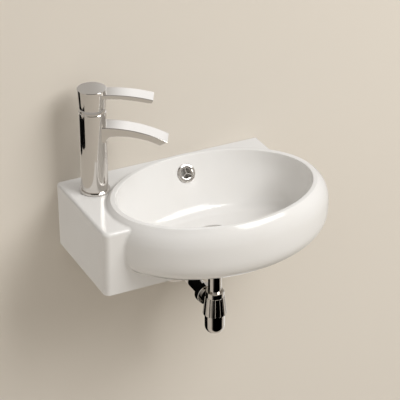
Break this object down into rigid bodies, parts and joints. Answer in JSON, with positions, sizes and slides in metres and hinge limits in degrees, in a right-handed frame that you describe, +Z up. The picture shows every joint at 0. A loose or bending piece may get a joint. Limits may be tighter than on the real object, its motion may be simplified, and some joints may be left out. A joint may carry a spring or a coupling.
{
  "type": "wall hung basin",
  "caption": "Wall hung hand basin with a shelf, an oval bowl to its right, a single-lever tap on the shelf, a push waste and a bottle trap.",
  "frame": {"origin": "midway between the two wall fixings, on the wall face", "axes": "+X to the right of a person facing the basin, +Y into the wall, +Z up"},
  "size_m": [0.4042, 0.3353, 0.441],
  "materials": {
    "glaze": "glossy",
    "chrome": "polished",
    "steel": "satin",
    "brass": "satin",
    "rubber": "matte",
    "plastic": "matte",
    "disc": "polished"
  },
  "bodies": {
    "fixed": {"basin": "glaze", "overflow_ring": "chrome", "wall_bolts": "steel", "wall_bushes": "plastic", "wall_washers": "steel", "wall_nuts": "steel", "tap_base_seal": "rubber", "tap_base_ring": "chrome", "tap_fixing_stud": "steel", "tap_clamp_seal": "rubber", "tap_clamp_plate": "steel", "tap_fixing_nut": "brass", "tap_body": "chrome", "aerator": "plastic", "cartridge_base_seal": "rubber", "cartridge_base": "plastic", "fixed_disc": "disc", "cartridge_body": "plastic", "cartridge_nut": "brass", "dome_cover": "chrome", "waste_body": "chrome", "waste_top_seal": "rubber", "waste_lower_seal": "rubber", "waste_backnut": "brass", "trap_coupling_nut": "chrome", "trap_top_washer": "rubber", "trap_inlet_tube": "chrome", "trap_inlet_nut": "chrome", "trap_inlet_seal": "rubber", "trap_body": "chrome", "trap_cup": "chrome", "trap_cup_seal": "rubber", "trap_outlet_nut": "chrome", "trap_outlet_seal": "rubber", "trap_outlet_pipe": "chrome", "wall_rosette": "chrome"},
    "turret": {"cartridge_turret": "plastic", "stem_pin": "steel"},
    "handle": {"handle": "chrome", "handle_screw": "steel", "handle_cap": "plastic", "cartridge_stem": "brass"},
    "slider": {"moving_disc": "disc"},
    "plug": {"waste_plug": "chrome", "plug_seal_ring": "rubber"}
  },
  "joints": [
    {"name": "turn", "type": "hinge", "parent": "fixed", "child": "turret", "pos_m": [-0.1355, -0.0481, 0.1933], "axis": [0, 0, 1], "range_deg": [-45, 45]},
    {"name": "lift", "type": "hinge", "parent": "turret", "child": "handle", "pos_m": [-0.1355, -0.0481, 0.1933], "axis": [-0.4695, -0.8829, 0], "range_deg": [0, 17]},
    {"name": "slide", "type": "slide", "parent": "turret", "child": "slider", "axis": [0.8829, -0.4695, 0], "range_m": [0, 0.0048]},
    {"name": "plug_rise", "type": "slide", "parent": "fixed", "child": "plug", "axis": [0, 0, 1], "range_m": [0, 0.008]}
  ],
  "couplings": [
    {"joint": "slide", "follows": "lift", "m_per_rad": 0.0156}
  ]
}
